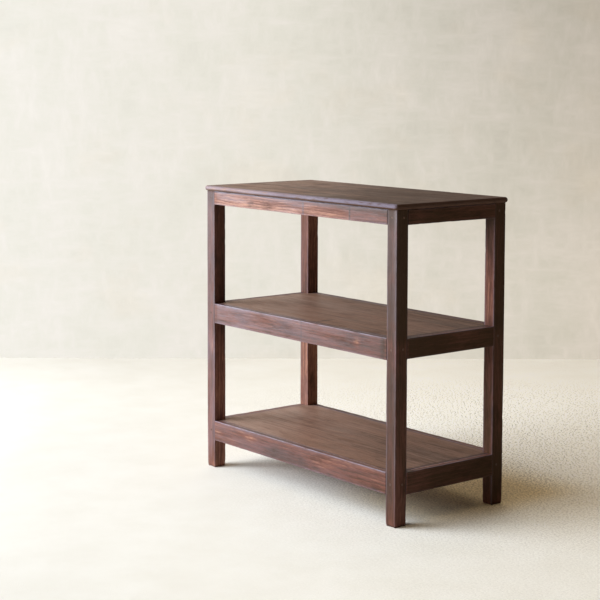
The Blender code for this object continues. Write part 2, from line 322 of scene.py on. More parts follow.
def store(mesh, name, values):
    """Keeps a number or a vector for each point, under a name that the material reads."""
    kind, key = ("FLOAT_VECTOR", "vector") if values.ndim == 2 else ("FLOAT", "value")
    mesh.attributes.new(name, kind, "POINT").data.foreach_set(key, values.ravel())


def finish_piece(node, bm, axis, seed, material, slot, tone, wear_and_highlight):
    """Puts a worn piece in a node's place, with its grain along an axis."""
    name = f"worn_{node}"
    bmesh.ops.recalc_face_normals(bm, faces=bm.faces)
    mesh = bpy.data.meshes.new(name)
    bm.to_mesh(mesh)
    bm.free()
    mesh.shade_smooth()
    mesh.set_sharp_from_angle(angle=math.radians(50))
    points = read_vectors(mesh.vertices, "co")
    normals = read_vectors(mesh.vertices, "normal")
    rightward = np.clip(normals[:, 0], 0, 1)

    # Each piece is cut from its own place in the tree, near the heart
    rng = np.random.default_rng(seed)
    order = [AXES[axis]] + [k for k in range(3) if k != AXES[axis]]
    grain = points[:, order] - points[:, order].mean(axis=0)
    grain = grain + np.array([rng.uniform(3, 40), *rng.uniform(-0.06, 0.06, 2)])
    store(mesh, "grain", grain)
    # Faces that look to the right get less painted highlight, and a darker tone as painted shade
    store(mesh, "wear_and_highlight", wear_and_highlight(points) * (1 - 0.75 * rightward))
    store(mesh, "tone", tone(points) - rightward * painted_side_shade(points))
    store(mesh, "sheen", painted_sheen(points, normals, slot))
    mesh.materials.append(material)

    piece = bpy.data.objects.new(name, mesh)
    bpy.context.scene.collection.objects.link(piece)
    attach(piece, "root")
    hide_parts(node)


def skin(verts, around):
    """A closed skin over rings that have the same count of points around."""
    bm = bmesh.new()
    made = [bm.verts.new(p) for p in verts]
    for ring in range(0, len(made) - around, around):
        for k in range(around):
            j = (k + 1) % around
            loop = (ring + k, ring + j, ring + around + j, ring + around + k)
            bm.faces.new([made[v] for v in loop])
    bm.faces.new(made[:around])
    bm.faces.new(made[-around:])
    return bm


def section(half_a, half_b, radius, arc=4):
    """A rounded rectangle: its points, outward normals and closeness to an arris."""
    points, normals, edge = [], [], []
    for quarter, (sa, sb) in enumerate(QUARTERS):
        centre = np.array([sa * (half_a - radius), sb * (half_b - radius)])
        for k in range(arc + 1):
            angle = math.pi / 2 * (quarter + k / arc)
            normal = np.array([math.cos(angle), math.sin(angle)])
            points.append(centre + radius * normal)
            normals.append(normal)
            edge.append(0.75 + 0.25 * math.sin(math.pi * k / arc))
        na, nb = QUARTERS[(quarter + 1) % 4]
        end = np.array([na * (half_a - radius), nb * (half_b - radius)]) + radius * normal
        start = points[-1]
        length = np.linalg.norm(end - start)
        close = [line / length for line in ARRIS_LINES]
        count = max(2, round(length / FACE_SPACING))
        even_steps = [k / count for k in range(1, count)]
        for t in sorted({*close, *even_steps, *(1 - t for t in close)}):
            if 0 < t < 1:
                points.append(start + (end - start) * t)
                normals.append(normal)
                gap = min(t, 1 - t) * length
                edge.append(0.75 * max(0.0, 1 - gap / ARRIS_REACH))
    return np.array(points), np.array(normals), np.array(edge)


def bar_stations(low, high, foot):
    """The rings of a bar: each one's place along it, and how far the faces draw in there."""
    count = max(2, round((high - low) / RING_SPACING))
    stations = [(s, 0.0) for s in np.linspace(low, high, count + 1)]
    if not foot:
        return stations
    stations = [*FOOT_RINGS, *(s for s in stations if s[0] > FOOT_RINGS_END)]
    return [(s, inset + FOOT_TAPER * max(0.0, 1 - s / FOOT_TAPER_TOP)) for s, inset in stations]


def worn_bar(node, low, high, axis, radius, seed, tone, material, foot=False):
    """A bar with eased and dented arrises between two corners, with its ends closed."""
    low, high = np.array(low), np.array(high)
    along = AXES[axis]
    a, b = [k for k in range(3) if k != along]
    half = (high - low) / 2
    middle = (high + low) / 2
    points, normals, edge = section(half[a], half[b], radius)
    stations = bar_stations(low[along], high[along], foot)
    rings = []
    for s, inset in stations:
        ring = np.zeros((len(points), 3))
        ring[:, along] = s
        ring[:, a] = middle[a] + points[:, 0] - normals[:, 0] * inset
        ring[:, b] = middle[b] + points[:, 1] - normals[:, 1] * inset
        rings.append(ring)
    verts = np.concatenate(rings)
    out = np.zeros((len(points), 3))
    out[:, a], out[:, b] = normals[:, 0], normals[:, 1]
    out = np.tile(out, (len(stations), 1))
    edges = np.tile(edge, len(stations))

    def uneven(across, lengthwise, offset):
        scale = np.full(3, across)
        scale[along] = lengthwise
        return field(verts, scale, seed + offset)

    sway = BAR_SWAY * (uneven(30.0, 7.0, 0) - 1)
    dents = np.clip(uneven(90.0, 45.0, 1) - 0.30, 0, 1)
    rubbed = np.clip(uneven(90.0, 12.0, 2) + 0.2, 0, 1)
    depth = edges * (DENT_DEPTH * dents + RUB_DEPTH * rubbed)
    if foot:
        near_floor = np.clip(1 - verts[:, 2] / FOOT_DENTS_TOP, 0, 1)
        depth = depth + FOOT_DENT_DEPTH * edges * near_floor * dents
    bm = skin(verts + out * (sway - depth)[:, None], len(points))
    upward = np.clip(out[:, 2] * 2, 0, 1)

    def wear_and_highlight(p):
        patches = field(p, (9, 9, 9), seed + 5) * 0.5 + 0.5
        # Upper arrises get more, a painted highlight where the light catches them
        return np.clip(edges * (0.1 + 0.45 * patches + 0.7 * upward), 0, 1)

    finish_piece(node, bm, axis, seed, material, "frame_wood", tone, wear_and_highlight)


# Wood


class Graph:
    """Short calls for building a node tree."""

    def __init__(self, tree):
        self.tree = tree
        self.shader = tree.nodes.get("Principled BSDF")

    def node(self, kind, **settings):
        made = self.tree.nodes.new(kind)
        for key, value in settings.items():
            setattr(made, key, value)
        return made

    def put(self, socket, value):
        if isinstance(value, bpy.types.NodeSocket):
            self.tree.links.new(value, socket)
        elif value is not None:
            socket.default_value = value

    def attribute(self, name, output="Fac"):
        return self.node("ShaderNodeAttribute", attribute_name=name).outputs[output]

    def math(self, operation, a, b=None, c=None, clamp=False):
        made = self.node("ShaderNodeMath", operation=operation, use_clamp=clamp)
        for socket, value in zip(made.inputs, (a, b, c)):
            self.put(socket, value)
        return made.outputs[0]

    def times(self, a, b, clamp=False):
        return self.math("MULTIPLY", a, b, clamp=clamp)

    def line(self, value, gain, base, clamp=False):
        """A value times a gain, plus a base."""
        return self.math("MULTIPLY_ADD", value, gain, base, clamp)

    def centred(self, value, middle=0.5):
        return self.math("SUBTRACT", value, middle)

    def vector(self, operation, a, b):
        made = self.node("ShaderNodeVectorMath", operation=operation)
        self.put(made.inputs[0], a)
        self.put(made.inputs[1], b)
        return made.outputs["Value" if operation == "DOT_PRODUCT" else "Vector"]

    def noise(self, place, scale, detail=3.0, rough=0.55):
        """Noise about 0.5, with a scale for each axis."""
        made = self.node("ShaderNodeTexNoise")
        self.put(made.inputs["Vector"], self.vector("MULTIPLY", place, scale))
        made.inputs["Scale"].default_value = 1.0
        made.inputs["Detail"].default_value = detail
        made.inputs["Roughness"].default_value = rough
        made.inputs["Distortion"].default_value = 0.0
        return made.outputs["Fac"]

    def ramp(self, value, low, high):
        """0 at low and 1 at high, smooth between, whichever is the larger."""
        made = self.node("ShaderNodeMapRange", interpolation_type="SMOOTHSTEP")
        self.put(made.inputs["Value"], value)
        made.inputs["From Min"].default_value = low
        made.inputs["From Max"].default_value = high
        return made.outputs["Result"]

    def mix(self, factor, a, b, blend="MIX"):
        """A mix of two colours, each a socket or three numbers."""
        made = self.node("ShaderNodeMix", data_type="RGBA", blend_type=blend)
        self.put(made.inputs["Factor"], factor)
        for socket, colour in ((made.inputs[6], a), (made.inputs[7], b)):
            self.put(socket, (*colour, 1) if isinstance(colour, tuple) else colour)
        return made.outputs[2]

    def bump(self, height, strength, distance):
        made = self.node("ShaderNodeBump")
        made.inputs["Strength"].default_value = strength
        made.inputs["Distance"].default_value = distance
        self.put(made.inputs["Height"], height)
        self.put(self.shader.inputs["Normal"], made.outputs["Normal"])


def new_material(name):
    material = bpy.data.materials.new(name)
    material.use_nodes = True
    return material, Graph(material.node_tree)


def scaled(colour, gain):
    return tuple(gain * c for c in colour)


def growth_rings(g, place, scale):
    made = g.node("ShaderNodeTexWave", wave_type="RINGS", rings_direction="X", wave_profile="SAW")
    g.put(made.inputs["Vector"], g.vector("MULTIPLY", place, (0.35, 1.0, 1.0)))
    made.inputs["Scale"].default_value = scale
    made.inputs["Distortion"].default_value = 5.0
    made.inputs["Detail"].default_value = 3.0
    made.inputs["Detail Scale"].default_value = 0.6
    made.inputs["Detail Roughness"].default_value = 0.6
    return made.outputs["Fac"]


def grain_marks(g, grain, figure):
    """The marks in and on the timber, each about 0.5."""
    # The fibres run along the grain's first axis and sway a little across the other two
    sway = g.times(g.centred(g.noise(grain, (3.0, 16.0, 16.0), 2.0)), 0.030)
    wavy = g.node("ShaderNodeCombineXYZ")
    g.put(wavy.inputs[1], sway)
    g.put(wavy.inputs[2], g.times(sway, 0.7))
    bent = g.vector("ADD", grain, wavy.outputs[0])
    return {
        "rings": growth_rings(g, bent, figure),
        "streak": g.noise(bent, (5.0, 190.0, 190.0), 4.0, 0.6),
        "broad": g.noise(grain, (1.6, 22.0, 22.0), 3.0, 0.55),
        "mottle": g.noise(bent, (14.0, 90.0, 90.0), 4.0, 0.6),
        "pores": g.noise(bent, (30.0, 520.0, 520.0), 3.0, 0.6),
        "stain": g.noise(grain, (9.0, 26.0, 26.0), 5.0, 0.6),
        "smears": g.noise(grain, (4.0, 34.0, 34.0), 4.0, 0.6),
        "scuff": g.noise(grain, (30.0, 160.0, 160.0), 4.0, 0.6),
    }


def timber_colour(g, marks, tone, sheen, kind):
    """The wood from dark to pale by its tone and marks, its pale parts lighter where the painted
    sheen lies.
    """
    body = g.math("ADD", tone, 0.5)
    gain = g.line(g.ramp(tone, -0.42, -0.05), kind.calm, 1.0 - kind.calm)
    for mark, weight in MARK_WEIGHTS.items():
        body = g.line(g.times(g.centred(marks[mark]), gain), weight * kind.contrast, body)
    colour = g.mix(g.ramp(body, 0.02, 0.52), kind.dark, kind.middle)
    pale = g.mix(g.times(sheen, 1.4, clamp=True), kind.warm, kind.light)
    return g.mix(g.ramp(body, 0.46, 1.05), colour, pale)


def film_and_painted_haze(g, marks, tone, sheen):
    """How thick the dull film and its painted reflection haze are: patchy, less over the pores
    and on pale wood, only where the painted sheen lies.
    """
    film_and_reflection = g.ramp(g.math("SUBTRACT", marks["smears"], g.times(tone, 0.5)), 0.32, 0.66)
    film_and_reflection = g.times(film_and_reflection, g.line(g.ramp(marks["pores"], 0.48, 0.62), -0.55, 1.0))
    return g.times(film_and_reflection, sheen)


def aged_colour(g, colour, marks, film_and_reflection, worn, kind):
    """The wood's colour under soot, with open pores, the film with its painted reflection haze,
    and worn arrises with a painted highlight.
    """
    soot = g.times(g.ramp(marks["stain"], 0.50, 0.70), kind.stains)
    colour = g.mix(soot, colour, scaled(kind.dark, 0.45))
    open_pores = g.times(g.ramp(marks["pores"], 0.58, 0.70), 0.60)
    colour = g.mix(open_pores, colour, scaled(kind.dark, 0.4))
    colour = g.mix(g.times(film_and_reflection, 0.45), colour, kind.bloom_and_reflection)
    return g.mix(g.times(worn, 0.80), colour, kind.rubbed)


def wood_material(name, kind):
    """Old oiled hardwood, which reads its grain, its wear and painted highlight, its tone with
    painted shade, and its painted sheen from the piece.
    """
    material, g = new_material(name)
    tone = g.attribute("tone")
    sheen = g.attribute("sheen")
    marks = grain_marks(g, g.attribute("grain", "Vector"), kind.figure)
    film_and_reflection = film_and_painted_haze(g, marks, tone, sheen)
    # Worn arrises with their painted highlight, broken by scuffs
    worn = g.times(g.attribute("wear_and_highlight"), g.ramp(marks["scuff"], 0.26, 0.52))
    colour = timber_colour(g, marks, tone, sheen, kind)
    g.put(g.shader.inputs["Base Color"], aged_colour(g, colour, marks, film_and_reflection, worn, kind))

    rough = g.line(g.centred(marks["stain"]), 0.25, kind.roughness)
    rough = g.line(g.centred(marks["streak"]), -0.25, rough)
    rough = g.line(worn, -0.08, rough, clamp=True)
    g.put(g.shader.inputs["Roughness"], rough)
    level = g.line(film_and_reflection, kind.gloss, g.line(sheen, 0.14, 0.035))
    g.put(g.shader.inputs["Specular IOR Level"], level)
    g.shader.inputs["Specular Tint"].default_value = (0.84, 0.92, 1.0, 1)

    height = g.math("ADD", g.times(marks["streak"], 0.9), g.times(marks["pores"], 0.35))
    height = g.math("ADD", height, g.times(marks["stain"], 0.5))
    g.bump(height, 0.75, 0.0011)
    return material


def plain_wood(name, dark, light, scale):
    """Wood for the small and hidden pieces, in their own coordinates."""
    material, g = new_material(name)
    place = g.node("ShaderNodeTexCoord").outputs["Object"]
    fibres = g.noise(place, scale, 4.0, 0.6)
    patches = g.noise(place, (25, 25, 25), 3.0)
    mixed = g.line(g.centred(patches), 0.8, fibres)
    g.put(g.shader.inputs["Base Color"], g.mix(g.ramp(mixed, 0.3, 0.7), dark, light))
    g.put(g.shader.inputs["Roughness"], g.line(fibres, 0.3, 0.5))
    g.bump(fibres, 0.7, 0.0008)
    return material


# The frame


def rail_tone(p, tone, seed):
    """A tone with a slow drift along and across the rail."""
    return tone + 0.10 * field(p, (5, 12, 5), seed + 3)


def apron_front_tone(p):
    """The front apron: palest left of the middle and darker to the right, a painted fall-off of
    the light, with a piece let in to the right of it.
    """
    x, z = p[:, 0], p[:, 2]
    tone = 0.285 - 0.445 * step_at(x, 0.17, 0.45) - 0.13 * (1 - step_at(x, -0.32, 0.2))
    tone += 0.05 * field(p, (6, 10, 30), 41)
    left, right = APRON_SEAMS
    tone += 0.07 * (step_at(x, left, 0.004) - step_at(x, right, 0.004))
    tone -= 0.55 * bump_at(x, left, 0.0045) + 0.60 * bump_at(x, right, 0.0045)
    tone += 0.05 - 0.20 * step_at(z, 0.862, 0.024)
    # The shade under the top
    return tone - 0.90 * step_at(z, 0.8805, 0.004)


def middle_front_tone(p):
    """The front middle rail: a seam, a rubbed spot, a paler edge and a dark end."""
    x, z = p[:, 0], p[:, 2]
    tone = -0.13 - 0.04 * step_at(x, 0.1, 0.6) + 0.12 * field(p, (6, 10, 34), 42)
    tone -= 0.30 * bump_at(x, MIDDLE_SEAM, 0.004)
    spot = bump_at(x, 0.283, 0.022) * bump_at(z, 0.4994, 0.026)
    tone += 0.45 * spot + 0.10 * bump_at(x, -0.18, 0.14) * step_at(z, 0.505, 0.02)
    return tone - 0.25 * bump_at(x, 0.392, 0.014)


def bottom_front_tone(p):
    """The front bottom rail: wild grain, with dark eyes and a pale flame to the left."""
    x, z = p[:, 0], p[:, 2]
    tone = -0.09 + 0.08 * field(p, (11, 10, 45), 43) + 0.09 * field(p, (24, 10, 80), 44)
    for strength, x_at, x_reach, z_at, z_reach in BOTTOM_RAIL_MARKS:
        tone += strength * bump_at(x, x_at, x_reach) * bump_at(z, z_at, z_reach)
    return tone


def post_tone(p, corner, seed, outer_x):
    """A post: its own lengths of paler and darker wood, a shaded top and a pale foot."""
    x, z = p[:, 0], p[:, 2]
    tone = POST_TONES[corner] + 0.10 * field(p, (30, 30, 6), seed + 3)
    if corner == "front_left":
        tone -= 0.14 * step_at(z, 0.42, 0.06) - 0.07 * (1 - step_at(z, 0.25, 0.15))
    if corner == "back_left":
        tone += 0.24 * (1 - step_at(z, 0.50, 0.10))
    if corner == "back_right":
        band = step_at(z, 0.53, 0.06) - 1.75 * step_at(z, 0.76, 0.20)
        band -= 0.45 * (1 - step_at(z, 0.40, 0.25))
        tone += 0.29 * (x < outer_x - 0.003) * band
    for strength, height, reach in (*POST_BANDS.get(corner, ()), *RAIL_LEVEL_BANDS):
        tone += strength * bump_at(z, height, reach)
    return tone + 0.08 * np.clip(1 - z / 0.12, 0, 1) + 0.10 * (1 - step_at(z, 0.03, 0.04))


def add_posts(material):
    """The four posts, with worn feet."""
    for k, corner in enumerate(POST_TONES):
        node = f"post_{corner}"
        seed = POST_SEED + k * BAR_SEED_STEP
        low, high = box_of(node)
        tone = partial(post_tone, corner=corner, seed=seed, outer_x=high[0])
        worn_bar(node, low, high, "Z", POST_ARRIS, seed, tone, material, foot=True)


def add_rails(material):
    """The aprons and rails between the posts, without their hidden tenons."""
    inner_x = box_of("post_front_right")[0][0]
    inner_y = box_of("post_back_left")[0][1]
    front_tones = {
        "top_rail_front": apron_front_tone,
        "middle_rail_front": middle_front_tone,
        "bottom_rail_front": bottom_front_tone,
    }
    seed = RAIL_SEED
    for level, level_tone in RAIL_TONES.items():
        for side in ("front", "back", "left", "right"):
            node = f"{level}_rail_{side}"
            low, high = box_of(node)
            axis, reach = ("X", inner_x) if side in ("front", "back") else ("Y", inner_y)
            along = AXES[axis]
            low[along], high[along] = -reach + RAIL_END_GAP, reach - RAIL_END_GAP
            plain_tone = partial(rail_tone, tone=level_tone, seed=seed)
            tone = front_tones.get(node, plain_tone)
            worn_bar(node, low, high, axis, RAIL_ARRIS, seed, tone, material)
            seed += BAR_SEED_STEP


# The top


def outline_loop(half_x, half_y, inset):
    """Rounded rectangle at an inset, with the same count of points at any inset."""
    radius = max(TOP_CORNER - inset, 0.002)
    core_x = half_x - inset - radius
    core_y = half_y - inset - radius
    loop = []
    for quarter, (sx, sy) in enumerate(QUARTERS):
        for k in range(CORNER_STEPS + 1):
            angle = math.pi / 2 * (quarter + k / CORNER_STEPS)
            dx, dy = radius * math.cos(angle), radius * math.sin(angle)
            loop.append((sx * core_x + dx, sy * core_y + dy))
        nx, ny = QUARTERS[(quarter + 1) % 4]
        end = (nx * core_x + dx, ny * core_y + dy)
        start = loop[-1]
        count = LONG_SIDE_STEPS if quarter % 2 == 0 else SHORT_SIDE_STEPS
        for k in range(1, count):
            t = k / count
            loop.append(tuple(s + (e - s) * t for s, e in zip(start, end)))
    return np.array(loop)


def worn_slab(half_x, half_y, bottom, top):
    """The whole top as one skin, with a worn and nicked bull nose all round."""
    radius = (top - bottom) / 2
    centre = (top + bottom) / 2
    profile = [(inset, bottom) for inset in UNDER_INSETS]
    for k in range(NOSE_STEPS + 1):
        angle = math.pi * (k / NOSE_STEPS - 0.5)
        profile.append((radius * (1 - math.cos(angle)), centre + radius * math.sin(angle)))
    profile += [(inset, top) for inset in UPPER_INSETS]
    rings = []
    for inset, z in profile:
        loop = outline_loop(half_x, half_y, inset)
        rings.append(np.column_stack([loop, np.full(len(loop), z)]))
    around = len(rings[0])
    verts = np.concatenate(rings)
    insets = np.repeat([inset for inset, z in profile], around)
    near = np.clip(1 - insets / NOSE_REACH, 0, 1)

    # Straight in from the nearest side
    inward = -verts * np.array([1, 1, 0])
    at_end = half_x - np.abs(verts[:, 0]) < half_y - np.abs(verts[:, 1])
    inward[at_end, 1] = 0
    inward[~at_end, 0] = 0
    inward /= np.maximum(np.linalg.norm(inward, axis=1), 1e-9)[:, None]

    sway = NOSE_SWAY * (1 + field(verts, (6, 6, 6), 11))
    nick = NICK_DEPTH * np.clip(field(verts, (38, 38, 20), 12) - 0.55, 0, 1)
    rub = NOSE_RUB_DEPTH * np.clip(field(verts, (12, 12, 40), 13) + 0.1, 0, 1)
    upper = verts[:, 2] > centre - 0.002
    verts = verts + inward * (near * (sway + rub + nick))[:, None]
    drop = near * (nick * 0.8 + rub * 0.6) + TOP_DIP * (1 + field(verts, (7, 11, 7), 14))
    verts[:, 2] -= np.where(upper, drop, 0)
    return skin(verts, around)


def add_top(material):
    """The bull-nosed top, parted into its planks."""
    low, high = box_of(*(f"top_plank_{k + 1}" for k in range(PLANKS)))
    half_x, half_y = high[0], high[1]
    centre = (high[2] + low[2]) / 2
    whole = worn_slab(half_x, half_y, low[2], high[2])
    bmesh.ops.recalc_face_normals(whole, faces=whole.faces)

    def wear_and_highlight(p):
        end_gap = half_x - np.abs(p[:, 0])
        side_gap = half_y - np.abs(p[:, 1])
        gap = np.minimum(end_gap, side_gap)
        nose = np.clip((0.013 - gap) / 0.004, 0, 1) * (p[:, 2] > centre - 0.003)
        patches = field(p, (14, 14, 14), 15) * 0.5 + 0.5
        # The nose's painted highlight is brighter to the right, and faint on the right end, which
        # is in shade
        kept = 0.60 + 0.40 * patches + 0.25 * step_at(p[:, 0], 0.1, 0.3)
        right_end = half_x - p[:, 0] < np.minimum(NOSE_REACH, side_gap)
        return np.clip(nose * kept * np.where(right_end, 0.10, 1), 0, 1)

    def top_tone(p, tone):
        # Darker to the right and back: painted shade, as the light falls off that way
        drift = tone - 0.78 * step_at(p[:, 0] + 0.5 * p[:, 1], -0.06, 0.50)
        # The nose's underside darker: painted shade
        under = np.clip((centre - 0.001 - p[:, 2]) / 0.004, 0, 1)
        return drift + 0.10 - 0.9 * under + 0.08 * field(p, (4, 14, 4), 46)

    seams = [half_y * (2 * k / PLANKS - 1) for k in range(PLANKS + 1)]
    for k, plank_tone in enumerate(TOP_TONES):
        plank = whole.copy()
        cuts = [(seams[k], -1)] if k > 0 else []
        cuts += [(seams[k + 1], 1)] if k < PLANKS - 1 else []
        for y, side in cuts:
            cut = bmesh.ops.bisect_plane(
                plank,
                geom=list(plank.verts) + list(plank.edges) + list(plank.faces),
                dist=1e-6,
                plane_co=(0, y - side * PLANK_SEAM / 2, 0),
                plane_no=(0, side, 0),
                clear_outer=True,
            )
            rim = [e for e in cut["geom_cut"] if isinstance(e, bmesh.types.BMEdge)]
            bmesh.ops.edgenet_fill(plank, edges=rim)
        tone = partial(top_tone, tone=plank_tone)
        node = f"top_plank_{k + 1}"
        finish_piece(node, plank, "X", TOP_SEED + k, material, "plank_wood", tone, wear_and_highlight)
    whole.free()


# The shelves


def plank_skin(xs, ys, low_z, high_z, notch_x, notch_y, seed):
    """A plank with a slightly dished upper face, left out where a post stands."""
    bm = bmesh.new()
    upper, lower, rim = {}, {}, {}

    def corner(i, j):
        if (i, j) not in upper:
            point = np.array([[xs[i], ys[j], high_z]])
            on_rim = i in (0, len(xs) - 1) or j in (0, len(ys) - 1)
            dip = SHELF_RIM_DIP if on_rim else SHELF_DIP * (1 + field(point, (5, 14, 5), seed)[0])
            upper[i, j] = bm.verts.new((xs[i], ys[j], high_z - dip))
            lower[i, j] = bm.verts.new((xs[i], ys[j], low_z))
        return i, j

    for i in range(len(xs) - 1):
        for j in range(len(ys) - 1):
            x = (xs[i] + xs[i + 1]) / 2
            y = (ys[j] + ys[j + 1]) / 2
            if abs(x) > notch_x and abs(y) > notch_y:
                continue
            loop = [corner(i, j), corner(i + 1, j), corner(i + 1, j + 1), corner(i, j + 1)]
            bm.faces.new([upper[at] for at in loop])
            bm.faces.new([lower[at] for at in reversed(loop)])
            # An edge that a second cell runs back along isn't on the rim
            for start, end in zip(loop, loop[1:] + loop[:1]):
                if (end, start) in rim:
                    del rim[end, start]
                else:
                    rim[start, end] = True
    for start, end in rim:
        bm.faces.new((upper[end], upper[start], lower[start], lower[end]))
    return bm


def middle_shelf_drift(x, y):
    """Paler to the left, a painted fall-off of the light to the right, with a dark crack from the
    front edge.
    """
    crack = bump_at(x + 0.10 * (y + 0.16), 0.066, 0.008)
    crack *= step_at(y, -0.185, 0.02) * (1 - step_at(y, -0.115, 0.03))
    return 0.33 - 0.48 * step_at(x, 0.0, 0.85) - 0.7 * crack


def bottom_shelf_drift(x, y):
    """Paler to the left, a painted fall-off of the light to the right."""
    return 0.50 - 0.63 * step_at(x, -0.10, 0.75)


def add_shelf(level, material, tones, drift, seed):
    """The planks of a shelf, inside its rails and notched round the posts."""
    rail_y = box_of(f"{level}_rail_back")[0][1]
    rail_x = box_of(f"{level}_rail_right")[0][0]
    post_x, post_y = box_of("post_back_right")[0][:2]
    reach_x, reach_y = rail_x - PLANK_SEAM, rail_y - PLANK_SEAM
    notch_x, notch_y = post_x - PLANK_SEAM, post_y - PLANK_SEAM

    def rim_gap(p):
        return np.minimum(reach_x - np.abs(p[:, 0]), reach_y - np.abs(p[:, 1]))

    def wear_and_highlight(p):
        patches = field(p, (20, 20, 20), seed + 7) + 0.6
        return np.clip(1 - rim_gap(p) / 0.02, 0, 1) * 0.25 * patches

    def shelf_tone(p, tone):
        drifting = tone + 0.07 * field(p, (4, 14, 4), seed + 3) + drift(p[:, 0], p[:, 1])
        return drifting - 0.22 * np.clip(1 - rim_gap(p) / 0.006, 0, 1)

    for k, plank_tone in enumerate(tones):
        node = f"{level}_plank_{k + 1}"
        low, high = box_of(node)
        y0 = -reach_y + 2 * reach_y * k / PLANKS + (PLANK_SEAM / 2 if k else 0)
        y1 = -reach_y + 2 * reach_y * (k + 1) / PLANKS - (PLANK_SEAM / 2 if k < PLANKS - 1 else 0)
        xs = sorted({-reach_x, reach_x, *np.linspace(-notch_x, notch_x, SHELF_COLUMNS)})
        corners = {y for y in (-notch_y, notch_y) if y0 < y < y1}
        ys = sorted({*np.linspace(y0, y1, SHELF_ROWS)} | corners)
        bm = plank_skin(xs, ys, low[2], high[2], notch_x, notch_y, seed)
        tone = partial(shelf_tone, tone=plank_tone)
        finish_piece(node, bm, "X", seed + k, material, "plank_wood", tone, wear_and_highlight)


# Small pieces


def ease_edges(node):
    bevel = node.modifiers.new("eased", "BEVEL")
    bevel.width = 0.0008
    bevel.segments = 2
    bevel.limit_method = "ANGLE"


def add_small_pieces():
    """Pegs, bearers and glue blocks keep the frame's own shapes."""
    peg = plain_wood("peg_end", (0.050, 0.022, 0.015), (0.105, 0.048, 0.030), (420, 420, 420))
    sawn = plain_wood("sawn_wood", (0.12, 0.058, 0.032), (0.24, 0.125, 0.070), (300, 14, 300))
    for name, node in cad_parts.items():
        is_peg = "peg" in name
        if is_peg or "bearer" in name or "block" in name:
            node.data.materials.clear()
            node.data.materials.append(peg if is_peg else sawn)
            if not is_peg:
                ease_edges(node)


# The room


def add_camera():
    data = bpy.data.cameras.new("camera")
    data.sensor_width = SENSOR_MM
    data.lens = FOCAL_PIXELS / IMAGE_PIXELS * SENSOR_MM
    data.shift_y = (AXIS_ROW - IMAGE_PIXELS / 2) / IMAGE_PIXELS
    data.clip_end = 60
    camera = bpy.data.objects.new("camera", data)
    bpy.context.scene.collection.objects.link(camera)
    turn = Matrix.Rotation(CAMERA_YAW, 4, "Z")
    tilt = Matrix.Rotation(math.pi / 2 - CAMERA_PITCH, 4, "X")
    roll = Matrix.Rotation(CAMERA_ROLL, 4, "Z")
    camera.matrix_world = Matrix.Translation(CAMERA_AT) @ turn @ tilt @ roll
    bpy.context.scene.camera = camera


def screed_material():
    """Pale screed, with a speckle to the right and a fine tooth."""
    material, g = new_material("screed")
    place = g.node("ShaderNodeTexCoord").outputs["Object"]
    sideways = g.vector("DOT_PRODUCT", place, tuple(RIGHT))
    back = g.vector("DOT_PRODUCT", place, tuple(AWAY))
    cloud = g.line(g.centred(g.noise(place, (5, 5, 5), 5.0, 0.6)), 1.2, 0.5)
    colour = g.mix(g.ramp(cloud, 0.1, 0.9), (0.895, 0.888, 0.842), (0.955, 0.955, 0.925))

    # Darker to the left, where the windows are near, and paler towards the wall
    shade = g.line(g.ramp(sideways, -1.1, 0.1), 0.25, 0.77)
    lift = g.line(g.ramp(sideways, 0.1, -1.1), 0.11, 0.06)
    shade = g.line(g.ramp(back, 0.0, 1.6), lift, shade)

    # The speckle shows to the right of the rack and fades towards every side
    speck = g.centred(g.noise(place, (155, 155, 155), 4.0, 0.85))
    speck = g.times(speck, 3.0)
    patches = g.centred(g.noise(place, (42, 42, 42), 3.0, 0.6))
    speck = g.line(patches, 0.22, speck)
    speck = g.times(speck, g.ramp(sideways, -0.55, 0.55))
    speck = g.times(speck, g.line(g.ramp(back, -0.9, 0.6), 0.88, 0.12))
    speck = g.times(speck, g.line(g.ramp(back, 1.2, 1.75), -0.92, 1.0))
    speck = g.times(speck, g.line(g.ramp(sideways, 0.85, 1.25), -0.85, 1.0))
    shade = g.line(speck, 2.35, shade)
    colour = g.mix(1.0, colour, shade, "MULTIPLY")

    # A painted shadow, warm and dark, under and behind the right end of the rack
    apart = g.node("ShaderNodeSeparateXYZ")
    g.put(apart.inputs[0], place)
    x, y = apart.outputs[0], apart.outputs[1]
    along = g.times(g.ramp(x, -0.10, 0.30), g.ramp(x, 0.56, 0.42))
    across = g.times(g.ramp(y, -0.20, -0.02), g.ramp(y, 0.62, 0.36))
    painted_shadow = g.mix(1.0, colour, (0.84, 0.74, 0.56), "MULTIPLY")
    colour = g.mix(g.times(along, across), colour, painted_shadow)

    g.put(g.shader.inputs["Base Color"], colour)
    g.shader.inputs["Roughness"].default_value = 0.95
    g.shader.inputs["Specular IOR Level"].default_value = 0.15
    g.bump(g.noise(place, (330, 330, 330), 3.0, 0.65), 0.8, 0.0015)
    return material


def add_floor():
    """A floor as far back as the wall's foot."""
    points = [RIGHT * x + AWAY * y for x, y in FLOOR_CORNERS]
    mesh = bpy.data.meshes.new("floor")
    mesh.from_pydata([(p.x, p.y, 0) for p in points], [], [(0, 1, 2, 3)])
    mesh.materials.append(screed_material())
    floor = bpy.data.objects.new("floor", mesh)
    bpy.context.scene.collection.objects.link(floor)


def add_area(name, at, towards, size, power, colour):
    data = bpy.data.lights.new(name, "AREA")
    data.shape = "RECTANGLE"
    data.size, data.size_y = size
    data.energy = power
    data.color = colour
    light = bpy.data.objects.new(name, data)
    bpy.context.scene.collection.objects.link(light)
    aim = (Vector(towards) - at).to_track_quat("-Z", "Y").to_matrix().to_4x4()
    light.matrix_world = Matrix.Translation(at) @ aim


